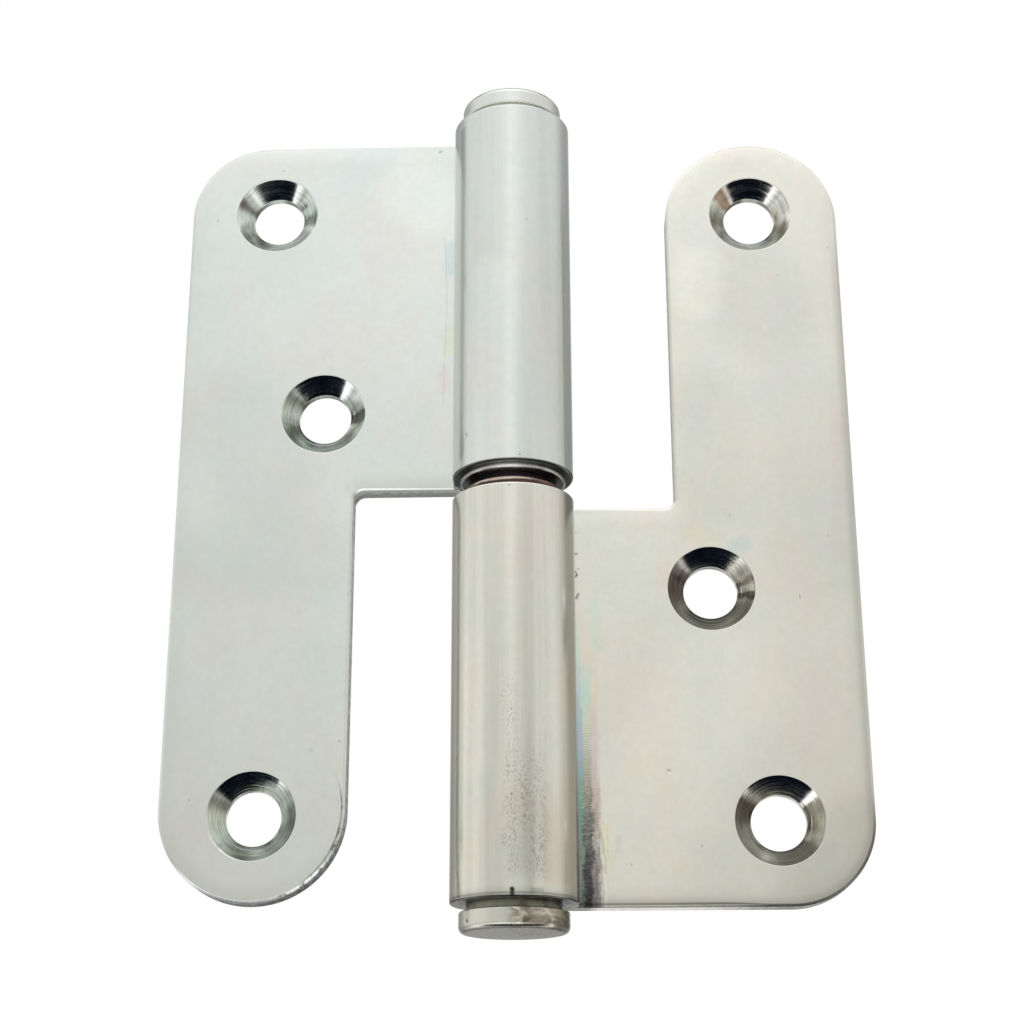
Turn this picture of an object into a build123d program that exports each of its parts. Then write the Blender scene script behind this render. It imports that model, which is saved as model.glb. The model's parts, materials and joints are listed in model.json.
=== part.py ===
from build123d import *
from math import sqrt
import os

# A lift-off door hinge of zinc-plated steel, lying flat and open.
# The frame leaf (+X) holds the pin in its lower knuckle. The door leaf (-X) has the upper
# knuckle, which turns on the pin's spigot and lifts off it.
# Origin: on the pin's axis, halfway between the knuckles.
# +X runs to the frame leaf's edge, +Y to the backs of the leaves, +Z up the pin.
# All sizes are in millimetres.

# Leaf stamping, the same for both leaves
LEAF_HEIGHT = 100.0         # from one knuckle's outer end to the other's
LEAF_REACH = 42.0           # from the pin's axis to the leaf's outer edge
SHEET = 3.0                 # thickness of the steel
FACE_SETBACK = 2.8          # from the pin's axis back to the countersunk face
LEG_INNER = 19.9            # from the pin's axis to the leg's inner edge
LEG_SHORT = 0.7             # how far the leg's round tip stops short of the other knuckle's end
CORNER_RADIUS = 10.0        # outer corner of the plate
NOTCH_RADIUS = 1.3          # inner corner between plate and leg
EDGE_CHAMFER = 0.3          # broken edge round the front face

# Knuckle, rolled out of the leaf
BORE_RADIUS = 4.4
CRANK_RADIUS = 4.0          # bend that sets the leaf forward from the knuckle's back
SEAM = 0.15                 # gap between the rolled end and the leaf's face
RIM_CHAMFER = 0.3           # outer rim of both knuckle ends

# Countersunk screw holes
SCREW_RADIUS = 3.3
HEAD_RADIUS = 5.3           # rim of the 90 degree countersink
END_HOLE_INSET = 9.9        # from the plate's end to the end hole
TIP_HOLE_INSET = 10.2       # from the leg's tip to the tip hole
MIDDLE_HOLE_INSET = 10.4    # from the notch's edge to the middle hole
MIDDLE_HOLE_REACH = 24.0    # from the pin's axis to the middle hole

# Stack of bearing pieces in the gap between the knuckles, from the bottom up
BRONZE_THICKNESS = 1.4
BRONZE_RADIUS = 5.8
THRUST_THICKNESS = 0.7
THRUST_RADIUS = 5.2
FLANGE_THICKNESS = 0.7
FLANGE_RADIUS = 6.45

# Pin and bush
SPIGOT_RADIUS = 3.5
SPIGOT_LENGTH = 31.0        # from the lower knuckle's end to the spigot's nose
SPIGOT_NOSE = 1.0           # chamfer that leads the bush on
SHANK_CHAMFER = 0.4
RUNNING_CLEARANCE = 0.05    # between spigot and bush, on the radius
WASHER_CLEARANCE = 0.1      # between spigot and washers, on the radius
BUSH_LENGTH = 30.0          # sleeve inside the upper knuckle

# End plugs
PLUG_HEAD_RADIUS = 6.35
PLUG_HEAD = 2.35            # thickness of the head
PLUG_ROUND = 0.7            # outer edge of the head
PLUG_NECK_RADIUS = 5.5
PLUG_NECK = 0.9             # between the knuckle's end and the head
PLUG_SHANK = 8.0            # what sits in the knuckle

# Worked out from the sizes above
KNUCKLE_RADIUS = BORE_RADIUS + SHEET
BACK = FACE_SETBACK + SHEET
KNUCKLE_GAP = BRONZE_THICKNESS + THRUST_THICKNESS + FLANGE_THICKNESS
KNUCKLE_TOP = -KNUCKLE_GAP / 2              # upper end of the frame leaf's knuckle
KNUCKLE_BOTTOM = -LEAF_HEIGHT / 2
LEG_TIP = LEAF_HEIGHT / 2 - LEG_SHORT
LEG_RADIUS = (LEAF_REACH - LEG_INNER) / 2
LEG_MIDDLE = (LEAF_REACH + LEG_INNER) / 2
MATCH = 1e-4                # how near two sizes have to be to count as the same


def rolled_section():
    """The frame leaf and its knuckle in one run of sheet, cut square to the pin."""
    crank_y = BACK + CRANK_RADIUS
    crank_x = sqrt((KNUCKLE_RADIUS + CRANK_RADIUS) ** 2 - crank_y**2)
    share = KNUCKLE_RADIUS / (KNUCKLE_RADIUS + CRANK_RADIUS)
    crank_start = (crank_x * share, crank_y * share)
    mouth = (sqrt(BORE_RADIUS**2 - FACE_SETBACK**2), FACE_SETBACK)
    rolled_end = FACE_SETBACK - SEAM
    with BuildSketch() as section:
        with BuildLine():
            Polyline((crank_x, BACK), (LEAF_REACH, BACK), (LEAF_REACH, FACE_SETBACK), mouth)
            ThreePointArc(mouth, (-BORE_RADIUS, 0), (BORE_RADIUS, 0))
            Polyline(
                (BORE_RADIUS, 0),
                (BORE_RADIUS, rolled_end),
                (KNUCKLE_RADIUS, rolled_end),
                (KNUCKLE_RADIUS, 0),
            )
            ThreePointArc((KNUCKLE_RADIUS, 0), (-KNUCKLE_RADIUS, 0), crank_start)
            TangentArc(crank_start, (crank_x, BACK), tangent=(crank_start[1], -crank_start[0]))
        make_face()
    return section.sketch


def blank_outline():
    """The frame leaf seen from the front: a plate at its knuckle and a leg beside the other one."""
    reach = LEAF_REACH + KNUCKLE_RADIUS
    plate = Pos(LEAF_REACH - reach / 2, (KNUCKLE_TOP + KNUCKLE_BOTTOM) / 2) * Rectangle(
        reach, KNUCKLE_TOP - KNUCKLE_BOTTOM
    )
    straight = LEG_TIP - LEG_RADIUS - KNUCKLE_BOTTOM
    leg = Pos(LEG_MIDDLE, KNUCKLE_BOTTOM + straight / 2) * Rectangle(2 * LEG_RADIUS, straight)
    tip = Pos(LEG_MIDDLE, LEG_TIP - LEG_RADIUS) * Circle(LEG_RADIUS)
    outline = plate + leg + tip
    corner = outline.vertices().sort_by_distance((LEAF_REACH, KNUCKLE_BOTTOM, 0))[0]
    outline = fillet(corner, CORNER_RADIUS)
    notch = outline.vertices().sort_by_distance((LEG_INNER, KNUCKLE_TOP, 0))[0]
    return Plane.XZ * fillet(notch, NOTCH_RADIUS)


def screw_hole(x, z):
    """The space that one countersunk hole takes, open at the front and the back."""
    spare = 1.0
    front = FACE_SETBACK
    profile = Polyline(
        (0, front - spare),
        (HEAD_RADIUS + spare, front - spare),
        (SCREW_RADIUS, front + HEAD_RADIUS - SCREW_RADIUS),
        (SCREW_RADIUS, BACK + spare),
        (0, BACK + spare),
        close=True,
    )
    return Pos(x, 0, z) * revolve(make_face(profile), Axis.Y)


def lies_at(edge, level, axis):
    """Whether the whole edge lies in the plane at that level of the named axis."""
    box = edge.bounding_box()
    ends = (getattr(box.min, axis), getattr(box.max, axis))
    return all(abs(end - level) < MATCH for end in ends)


def frame_leaf():
    """One stamping: countersunk plate and leg, with the lower knuckle rolled out of it."""
    height = LEG_TIP - KNUCKLE_BOTTOM
    sheet = Pos(0, 0, KNUCKLE_BOTTOM) * extrude(rolled_section(), height)
    leaf = sheet & extrude(blank_outline(), 2 * KNUCKLE_RADIUS, both=True)
    rims = [
        edge
        for edge in leaf.edges().filter_by(GeomType.CIRCLE)
        if abs(edge.radius - KNUCKLE_RADIUS) < MATCH
        and (lies_at(edge, KNUCKLE_TOP, "Z") or lies_at(edge, KNUCKLE_BOTTOM, "Z"))
    ]
    leaf = chamfer(rims, RIM_CHAMFER)
    outline = [
        edge
        for edge in leaf.edges()
        if lies_at(edge, FACE_SETBACK, "Y") and edge.center().X > KNUCKLE_RADIUS
    ]
    leaf = chamfer(outline, EDGE_CHAMFER)
    holes = [
        (LEG_MIDDLE, KNUCKLE_BOTTOM + END_HOLE_INSET),
        (MIDDLE_HOLE_REACH, KNUCKLE_TOP - MIDDLE_HOLE_INSET),
        (LEG_MIDDLE, LEG_TIP - TIP_HOLE_INSET),
    ]
    for x, z in holes:
        leaf -= screw_hole(x, z)
    return leaf


def turned(points, round_at=None, radius=0.0):
    """A turned piece from its half profile (radius, height), with one corner rounded if asked."""
    face = make_face(Polyline(*points, close=True))
    if round_at is not None:
        face = fillet(face.vertices().sort_by_distance((*round_at, 0))[0], radius)
    return revolve(Plane.XZ * face, Axis.Z)


def hinge_pin():
    """Stepped pin: a shank pressed into the lower knuckle and a spigot for the bush."""
    low = KNUCKLE_BOTTOM + PLUG_SHANK
    nose = KNUCKLE_TOP + SPIGOT_LENGTH
    return turned(
        [
            (0, low),
            (BORE_RADIUS - SHANK_CHAMFER, low),
            (BORE_RADIUS, low + SHANK_CHAMFER),
            (BORE_RADIUS, KNUCKLE_TOP),
            (SPIGOT_RADIUS, KNUCKLE_TOP),
            (SPIGOT_RADIUS, nose - SPIGOT_NOSE),
            (SPIGOT_RADIUS - SPIGOT_NOSE, nose),
            (0, nose),
        ]
    )


def washer(radius, thickness, low):
    """A flat ring round the spigot."""
    hole = SPIGOT_RADIUS + WASHER_CLEARANCE
    return turned([(hole, low), (radius, low), (radius, low + thickness), (hole, low + thickness)])


def door_bush():
    """Flanged sleeve pressed into the upper knuckle from below."""
    hole = SPIGOT_RADIUS + RUNNING_CLEARANCE
    seat = -KNUCKLE_TOP
    return turned(
        [
            (hole, seat - FLANGE_THICKNESS),
            (FLANGE_RADIUS, seat - FLANGE_THICKNESS),
            (FLANGE_RADIUS, seat),
            (BORE_RADIUS, seat),
            (BORE_RADIUS, seat + BUSH_LENGTH),
            (hole, seat + BUSH_LENGTH),
        ]
    )


def top_plug():
    """Plug that closes the upper knuckle: a pressed-in shank, a neck and a round-edged head."""
    seat = -KNUCKLE_BOTTOM
    head = seat + PLUG_NECK
    outer_end = head + PLUG_HEAD
    return turned(
        [
            (0, seat - PLUG_SHANK),
            (BORE_RADIUS, seat - PLUG_SHANK),
            (BORE_RADIUS, seat),
            (PLUG_NECK_RADIUS, seat),
            (PLUG_NECK_RADIUS, head),
            (PLUG_HEAD_RADIUS, head),
            (PLUG_HEAD_RADIUS, outer_end),
            (0, outer_end),
        ],
        round_at=(PLUG_HEAD_RADIUS, outer_end),
        radius=PLUG_ROUND,
    )


def half_turn(piece):
    """Turn a piece half round the line that runs square to the leaves through the origin."""
    return piece.rotate(Axis.Y, 180)


bronze_low = KNUCKLE_TOP
thrust_low = bronze_low + BRONZE_THICKNESS
parts = {
    "frame_leaf": frame_leaf(),
    "door_leaf": half_turn(frame_leaf()),
    "hinge_pin": hinge_pin(),
    "bronze_washer": washer(BRONZE_RADIUS, BRONZE_THICKNESS, bronze_low),
    "thrust_washer": washer(THRUST_RADIUS, THRUST_THICKNESS, thrust_low),
    "door_bush": door_bush(),
    "top_plug": top_plug(),
    "bottom_plug": half_turn(top_plug()),
}

os.makedirs("parts", exist_ok=True)
for name, piece in parts.items():
    export_step(piece, f"parts/{name}.step")
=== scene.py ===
"""The looks of a lift-off door hinge, on the frame of its solids and joints."""

import json
import math
from functools import partialmethod

import bmesh
import bpy
import numpy as np
from mathutils import Matrix, Vector

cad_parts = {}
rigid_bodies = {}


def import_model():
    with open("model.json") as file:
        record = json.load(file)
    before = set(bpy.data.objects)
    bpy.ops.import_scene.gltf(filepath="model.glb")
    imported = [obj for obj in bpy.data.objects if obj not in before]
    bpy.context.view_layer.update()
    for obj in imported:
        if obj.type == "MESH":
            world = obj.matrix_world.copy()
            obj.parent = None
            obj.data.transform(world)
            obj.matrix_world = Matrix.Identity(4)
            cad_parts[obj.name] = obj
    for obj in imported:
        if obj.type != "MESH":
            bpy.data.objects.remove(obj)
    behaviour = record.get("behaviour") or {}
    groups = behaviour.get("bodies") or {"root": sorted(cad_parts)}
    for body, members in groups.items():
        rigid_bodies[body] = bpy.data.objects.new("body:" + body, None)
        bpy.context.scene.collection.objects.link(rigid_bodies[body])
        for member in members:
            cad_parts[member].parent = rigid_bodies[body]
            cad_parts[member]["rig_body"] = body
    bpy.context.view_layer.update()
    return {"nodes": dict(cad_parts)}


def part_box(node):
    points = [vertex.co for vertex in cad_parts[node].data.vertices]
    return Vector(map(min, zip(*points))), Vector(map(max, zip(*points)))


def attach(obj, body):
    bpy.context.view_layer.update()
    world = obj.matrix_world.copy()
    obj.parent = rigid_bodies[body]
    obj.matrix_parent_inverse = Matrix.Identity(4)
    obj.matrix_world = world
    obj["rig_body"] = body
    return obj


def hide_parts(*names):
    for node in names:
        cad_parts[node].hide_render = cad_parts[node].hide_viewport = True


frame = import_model()

# Sizes in millimetres, as in the solids. +X runs to the frame leaf's edge, +Y to the backs, +Z up.
MM = 0.001
LEAF_END = 50.0  # half the height over both knuckles
LEAF_REACH = 42.0
SHEET = 3.0
FACE_SETBACK = 2.8
LEG_INNER = 19.9
LEG_TIP = 49.3
CORNER_RADIUS = 10.0
NOTCH_RADIUS = 1.3
BORE_RADIUS = 4.4
CRANK_RADIUS = 4.0
SEAM = 0.15
KNUCKLE_GAP = 2.8
SCREW_RADIUS = 3.3
HEAD_RADIUS = 5.3
END_HOLE_INSET = 9.9
TIP_HOLE_INSET = 10.2
MIDDLE_HOLE_INSET = 10.4
MIDDLE_HOLE_REACH = 24.0
BRONZE_RADIUS = 5.8
THRUST_RADIUS = 5.2
FLANGE_RADIUS = 6.45
SPIGOT_RADIUS = 3.5
SPIGOT_NOSE = 1.0
RUNNING_CLEARANCE = 0.05
WASHER_CLEARANCE = 0.1
PLUG_HEAD_RADIUS = 6.35
PLUG_HEAD = 2.35
PLUG_ROUND = 0.7
PLUG_NECK_RADIUS = 5.5
PLUG_NECK = 0.9

KNUCKLE_RADIUS = BORE_RADIUS + SHEET
KNUCKLE_TOP = -KNUCKLE_GAP / 2
KNUCKLE_BOTTOM = -LEAF_END
LEG_RADIUS = (LEAF_REACH - LEG_INNER) / 2
LEG_MIDDLE = (LEAF_REACH + LEG_INNER) / 2
HOLES = [
    (LEG_MIDDLE, KNUCKLE_BOTTOM + END_HOLE_INSET),
    (MIDDLE_HOLE_REACH, KNUCKLE_TOP - MIDDLE_HOLE_INSET),
    (LEG_MIDDLE, LEG_TIP - TIP_HOLE_INSET),
]

# How finely the meshes are cut
ROUND_STEPS = 4  # along each rounded edge
SUPPORT = 0.02  # margin beside a rounded edge, which keeps flat faces shaded flat
MARGIN = 0.6  # from an edge to where its rounding is over
ROLLOVER = 2.6  # from a blanked edge to where the face is flat
EDGE_DROP = 0.12  # how far the face is drawn down at the edge
BEVEL = 0.32  # width of the broken edge round the leaf's face
FINE_ROUND = 0.12  # the sheet's other edges
ROLLED_ROUND = 0.25  # outer edges of the rolled knuckle
ROLLOVER_STEPS = 8
KNUCKLE_STEPS = 120
CRANK_STEPS = 7
CORNER_STEPS = 28
TIP_STEPS = 64
NOTCH_STEPS = 12
FLANK_STEPS = 3
TURN_STEPS = 160
HOLE_STEPS = 96


def rounded(corners):
    """Points of a profile with its corners rounded. Each corner is (a, b, radius)."""
    points = []
    for index, (a, b, radius) in enumerate(corners):
        corner = Vector((a, b))
        if not radius:
            points.append(corner)
            continue
        before = (Vector(corners[index - 1][:2]) - corner).normalized()
        after = (Vector(corners[(index + 1) % len(corners)][:2]) - corner).normalized()
        half = before.angle(after) / 2
        reach = radius / math.tan(half)
        centre = corner + (before + after).normalized() * (radius / math.sin(half))
        start = corner + before * reach - centre
        end = corner + after * reach - centre
        sweep = math.atan2(start.x * end.y - start.y * end.x, start.dot(end))
        points.append(corner + before * (reach + SUPPORT))
        for step in range(ROUND_STEPS + 1):
            points.append(centre + Matrix.Rotation(sweep * step / ROUND_STEPS, 2) @ start)
        points.append(corner + after * (reach + SUPPORT))
    return points


# The blank's own coordinate s runs across it: x where it is flat, and on round the knuckle below that
CRANK_Y = FACE_SETBACK + SHEET + CRANK_RADIUS
FLAT_START = math.sqrt((KNUCKLE_RADIUS + CRANK_RADIUS) ** 2 - CRANK_Y**2)
CRANK_TURN = math.atan2(CRANK_Y, FLAT_START)
MOUTH_TURN = math.asin(FACE_SETBACK / BORE_RADIUS)
MOUTH_X = BORE_RADIUS * math.cos(MOUTH_TURN)
MOUTH_S = MOUTH_X
ROLL_LENGTH = (BORE_RADIUS + SHEET / 2) * (2 * math.pi - (CRANK_TURN + MOUTH_TURN) / 2)
FLANK_S = MOUTH_S - ROLL_LENGTH
END_S = FLANK_S - (FACE_SETBACK - SEAM)


def rolled(s, depth):
    """Where the blank's point at s, depth under its front, lies in plan once the knuckle is rolled."""
    if s >= FLAT_START:
        inner, outer = Vector((s, FACE_SETBACK)), Vector((s, FACE_SETBACK + SHEET))
    elif s >= MOUTH_S:
        share = (s - MOUTH_S) / (FLAT_START - MOUTH_S)
        turn = CRANK_TURN + math.pi + share * (math.pi / 2 - CRANK_TURN)
        inner = Vector((s, FACE_SETBACK))
        outer = Vector((FLAT_START, CRANK_Y)) + CRANK_RADIUS * Vector((math.cos(turn), math.sin(turn)))
    elif s >= FLANK_S:
        share = (s - FLANK_S) / (MOUTH_S - FLANK_S)
        inner_turn = share * (MOUTH_TURN - 2 * math.pi)
        outer_turn = share * (CRANK_TURN - 2 * math.pi)
        inner = BORE_RADIUS * Vector((math.cos(inner_turn), math.sin(inner_turn)))
        outer = KNUCKLE_RADIUS * Vector((math.cos(outer_turn), math.sin(outer_turn)))
    else:
        inner, outer = Vector((BORE_RADIUS, FLANK_S - s)), Vector((KNUCKLE_RADIUS, FLANK_S - s))
    return inner.lerp(outer, depth / SHEET)


def knuckle_columns():
    """Places across the rolled part of the blank, from its free end to where it goes flat."""
    flank = np.linspace(END_S, FLANK_S, FLANK_STEPS + 1)
    roll = np.linspace(FLANK_S, MOUTH_S, KNUCKLE_STEPS)
    crank = np.linspace(MOUTH_S, FLAT_START, CRANK_STEPS + 1)
    return [float(s) for s in np.concatenate([flank, roll[1:], crank[1:]])]


def arc_stations(centre, radius, start, end, steps, convex=True):
    """Stations along an arc of the outline, each with the direction into the metal."""
    side = -1 if convex else 1
    stations = []
    for turn in np.radians(np.linspace(start, end, steps + 1)):
        out = Vector((math.cos(turn), math.sin(turn)))
        stations.append((centre + radius * out, side * out))
    return stations


def blank_outline(columns):
    """Stations round the flat blank in (s, z), from the lower corner of its rolled end."""
    low = [(Vector((s, KNUCKLE_BOTTOM)), Vector((0, 1))) for s in columns]
    high = [(Vector((s, KNUCKLE_TOP)), Vector((0, -1))) for s in columns]
    low[0][1].x = high[0][1].x = 1
    corner = Vector((LEAF_REACH - CORNER_RADIUS, KNUCKLE_BOTTOM + CORNER_RADIUS))
    tip = Vector((LEG_MIDDLE, LEG_TIP - LEG_RADIUS))
    notch = Vector((LEG_INNER - NOTCH_RADIUS, KNUCKLE_TOP + NOTCH_RADIUS))
    return (
        low
        + arc_stations(corner, CORNER_RADIUS, -90, 0, CORNER_STEPS)
        + arc_stations(tip, LEG_RADIUS, 0, 180, TIP_STEPS)
        + arc_stations(notch, NOTCH_RADIUS, 0, -90, NOTCH_STEPS, convex=False)
        + high[::-1]
    )


def rolled_over(edge, drop=EDGE_DROP):
    """The edge profile with its face drawn down towards the edge, as blanking leaves it."""
    flat = [(ROLLOVER * step / ROLLOVER_STEPS, 0) for step in range(ROLLOVER_STEPS, 0, -1)]
    points = [Vector(point) for point in flat if point[0] > MARGIN] + edge
    for point in points:
        fall = drop * max(0, 1 - point.x / ROLLOVER) ** 2 * max(0, 1 - point.y / SHEET)
        point.y += fall
    return points


def edge_profile(s):
    """The sheet's edge from its front to its back, as (inset, depth). The leaf's front edge is broken."""
    bevel = float(np.interp(s, (FLAT_START, KNUCKLE_RADIUS + 1), (FINE_ROUND, BEVEL)))
    places = (END_S, END_S + 1.5, MOUTH_S, FLAT_START + 1)
    rounds = (FINE_ROUND, ROLLED_ROUND, ROLLED_ROUND, FINE_ROUND)
    back = float(np.interp(s, places, rounds))
    return rounded(
        [
            (MARGIN, 0, 0),
            (bevel, 0, bevel / 2),
            (0, bevel / 2, bevel / 3),
            (0, SHEET, back),
            (MARGIN, SHEET, 0),
        ]
    )


FACE, EDGE, CONE = range(3)  # material places of a leaf


def edge_wall(bm, outline):
    """The blank's rounded edge all round, as a run of points from front to back at each station."""
    stations = []
    for place, inward in outline:
        edge = edge_profile(place.x)
        profile = rolled_over(edge) if place.x > FLAT_START else rolled_over(edge, 0)
        station = []
        for inset, depth in profile:
            s, z = place + inset * inward
            station.append(bm.verts.new((*rolled(s, depth), z)))
        stations.append(station)
    edge_to = len(stations[0]) - ROUND_STEPS - 3
    edge_from = edge_to - 2
    for here, there in zip(stations, stations[1:] + stations[:1]):
        for ring in range(len(here) - 1):
            face = bm.faces.new((here[ring], there[ring], there[ring + 1], here[ring + 1]))
            face.material_index = EDGE if edge_from <= ring < edge_to else FACE
    return stations


def fill_side(bm, stations, holes, last, ring):
    """Close the blank's front (ring 0) or back (ring -1): strips where it is rolled, else triangles."""
    for index in range(last):
        low, high = stations[index], stations[-1 - index]
        low_next, high_next = stations[index + 1], stations[-2 - index]
        bm.faces.new((low[ring], low_next[ring], high_next[ring], high[ring]))
    rim = [station[ring] for station in stations[last : len(stations) - last]]
    edges = []
    for loop in [rim] + [rings[ring] for rings in holes]:
        for a, b in zip(loop, loop[1:] + loop[:1]):
            edges.append(bm.edges.get((a, b)) or bm.edges.new((a, b)))
    bmesh.ops.triangle_fill(bm, use_beauty=True, use_dissolve=False, edges=edges)


def leaf_mesh(name):
    """The frame leaf: a flat blank with rounded edges and countersunk holes, rolled up at one side."""
    columns = knuckle_columns()
    bm = bmesh.new()
    turn_layer = bm.loops.layers.uv.new("turning")
    stations = edge_wall(bm, blank_outline(columns))
    holes = [hole_rings(bm, turn_layer, number, x, z) for number, (x, z) in enumerate(HOLES)]
    for ring in (0, -1):
        fill_side(bm, stations, holes, len(columns) - 1, ring)
    return finished(bm, name)


# A hole's wall from the front to the back, as (radius, depth, rounding)
HOLE_CORNERS = [
    (HEAD_RADIUS + MARGIN, 0, 0),
    (HEAD_RADIUS, 0, 0.15),
    (SCREW_RADIUS, HEAD_RADIUS - SCREW_RADIUS, 0.15),
    (SCREW_RADIUS, SHEET, 0.1),
    (SCREW_RADIUS + MARGIN, SHEET, 0),
]


def hole_rings(bm, turn_layer, number, x, z):
    """One countersunk hole's wall. Its UV map holds its number plus the turn round it, and the radius."""
    profile = rounded(HOLE_CORNERS)
    turns = [2 * math.pi * step / HOLE_STEPS for step in range(HOLE_STEPS)]
    rings = [
        [bm.verts.new((x + r * math.cos(t), FACE_SETBACK + d, z + r * math.sin(t))) for t in turns]
        for r, d in profile
    ]
    cone_from, cone_to = ROUND_STEPS // 2 + 2, 3 * ROUND_STEPS + 7
    for ring in range(len(rings) - 1):
        for step in range(HOLE_STEPS):
            after = (step + 1) % HOLE_STEPS
            face = bm.faces.new(
                (rings[ring][step], rings[ring][after], rings[ring + 1][after], rings[ring + 1][step])
            )
            if cone_from <= ring < cone_to:
                face.material_index = CONE
            for loop, r, t in zip(
                face.loops,
                (ring, ring, ring + 1, ring + 1),
                (step, step + 1, step + 1, step),
            ):
                loop[turn_layer].uv = (number + t / HOLE_STEPS, profile[r].x / HEAD_RADIUS)
    return rings


def lathe(name, corners, closed=False):
    """A turned piece from its half profile, whose corners are (radius, height, rounding)."""
    bm = bmesh.new()
    turns = [2 * math.pi * step / TURN_STEPS for step in range(TURN_STEPS)]
    rings = []
    for radius, height in rounded(corners):
        if radius == 0:
            rings.append([bm.verts.new((0, 0, height))] * TURN_STEPS)
        else:
            rings.append(
                [bm.verts.new((radius * math.cos(t), radius * math.sin(t), height)) for t in turns]
            )
    for near, far in zip(rings, rings[1:] + (rings[:1] if closed else [])):
        for step in range(TURN_STEPS):
            after = (step + 1) % TURN_STEPS
            corners_here = (near[step], near[after], far[after], far[step])
            bm.faces.new(list(dict.fromkeys(corners_here)))
    return finished(bm, name)


def finished(bm, name):
    """The object of a mesh built in millimetres, smooth and with its faces turned outward."""
    bmesh.ops.scale(bm, vec=(MM, MM, MM), verts=bm.verts)
    bmesh.ops.recalc_face_normals(bm, faces=bm.faces)
    for face in bm.faces:
        face.smooth = True
    mesh = bpy.data.meshes.new(name)
    bm.to_mesh(mesh)
    bm.free()
    piece = bpy.data.objects.new(name, mesh)
    bpy.context.scene.collection.objects.link(piece)
    return piece


def half_turn(piece):
    """Turn a piece half round the line that runs square to the leaves through the origin."""
    piece.data.transform(Matrix.Rotation(math.pi, 4, "Y"))
    return piece


def top_plug(name):
    """Plug with a neck and a round-edged head that closes a knuckle. Its shank is in the knuckle."""
    low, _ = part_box("top_plug")
    head = LEAF_END + PLUG_NECK
    end = head + PLUG_HEAD
    return lathe(
        name,
        [
            (0, low.z / MM, 0),
            (BORE_RADIUS, low.z / MM, 0.2),
            (BORE_RADIUS, LEAF_END, 0.05),
            (PLUG_NECK_RADIUS, LEAF_END, 0.05),
            (PLUG_NECK_RADIUS, head, 0.1),
            (PLUG_HEAD_RADIUS, head, 0.2),
            (PLUG_HEAD_RADIUS, end, PLUG_ROUND),
            (0, end, 0),
        ],
    )


def washer(name, node, radius, rounding):
    """A flat ring round the spigot, as high as its node, with rounded edges."""
    hole = SPIGOT_RADIUS + WASHER_CLEARANCE
    low, high = (corner.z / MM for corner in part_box(node))
    return lathe(
        name,
        [(hole, low, 0.05), (radius, low, rounding), (radius, high, rounding), (hole, high, 0.05)],
        closed=True,
    )


def hinge_pin(name):
    """Stepped pin: the shank sits in the lower knuckle, the spigot carries the bush."""
    low, high = (corner.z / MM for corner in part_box("hinge_pin"))
    return lathe(
        name,
        [
            (0, low, 0),
            (BORE_RADIUS, low, 0.4),
            (BORE_RADIUS, KNUCKLE_TOP, 0.1),
            (SPIGOT_RADIUS, KNUCKLE_TOP, 0.1),
            (SPIGOT_RADIUS, high - SPIGOT_NOSE, 0.3),
            (SPIGOT_RADIUS - SPIGOT_NOSE, high, 0.3),
            (0, high, 0),
        ],
    )


def door_bush(name):
    """Flanged sleeve in the upper knuckle."""
    low, high = (corner.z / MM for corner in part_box("door_bush"))
    hole = SPIGOT_RADIUS + RUNNING_CLEARANCE
    return lathe(
        name,
        [
            (hole, low, 0.1),
            (FLANGE_RADIUS, low, 0.30),
            (FLANGE_RADIUS, -KNUCKLE_TOP, 0.05),
            (BORE_RADIUS, -KNUCKLE_TOP, 0.05),
            (BORE_RADIUS, high, 0.1),
            (hole, high, 0.1),
        ],
        closed=True,
    )


NOISE_RANGE = (0.3, 0.7)  # where nearly all of a noise lies
# A colour mix's sockets, and its output
MIX_FACTOR, MIX_A, MIX_B, MIX_RESULT = 0, 6, 7, 2


class Value:
    """A node's output, which is reckoned with like a plain number."""

    def __init__(self, shader, socket):
        self.shader, self.socket = shader, socket

    def work(self, operation, *others):
        return self.shader.math(operation, self, *others)

    __add__ = partialmethod(work, "ADD")
    __sub__ = partialmethod(work, "SUBTRACT")
    __mul__ = partialmethod(work, "MULTIPLY")
    __truediv__ = partialmethod(work, "DIVIDE")
    __abs__ = partialmethod(work, "ABSOLUTE")
    most = partialmethod(work, "MAXIMUM")
    least = partialmethod(work, "MINIMUM")

    def __rsub__(self, number):
        return self.shader.math("SUBTRACT", number, self)

    def spread(self, low, high, to_low=0.0, to_high=1.0, kind="SMOOTHSTEP"):
        """Its place between low and high, eased and held at the ends."""
        values = (self, low, high, to_low, to_high)
        return self.shader.result("ShaderNodeMapRange", values, interpolation_type=kind, clamp=True)

    def window(self, low, full, fading, high):
        """1 where it is from full to fading, and down to 0 at low and high."""
        return self.spread(low, full) * self.spread(high, fading)

    def vary(self, low, high):
        """A noise turned into a value from low to high."""
        return self.spread(*NOISE_RANGE, low, high)


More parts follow.
